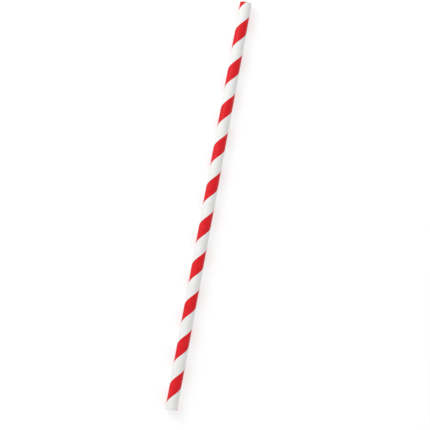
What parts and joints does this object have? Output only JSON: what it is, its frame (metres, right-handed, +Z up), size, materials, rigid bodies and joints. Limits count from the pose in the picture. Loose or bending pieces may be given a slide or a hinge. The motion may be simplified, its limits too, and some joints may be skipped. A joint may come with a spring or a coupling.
{
  "type": "paper drinking straw",
  "caption": "Straight paper drinking straw, a thin wound tube with open square-cut ends and a spiral stripe in red on white.",
  "frame": {"origin": "on the surface that the straw lies on, under the middle of its length", "axes": "+X along the straw's axis, +Z up from the surface that it lies on"},
  "size_m": [0.21, 0.006, 0.006],
  "materials": {
    "white_paper": "smooth white kraft paper with a faint satin sheen, printed on its outside with a red stripe that winds round the tube"
  },
  "bodies": {
    "root": {"straw_tube": "white_paper"}
  },
  "joints": []
}
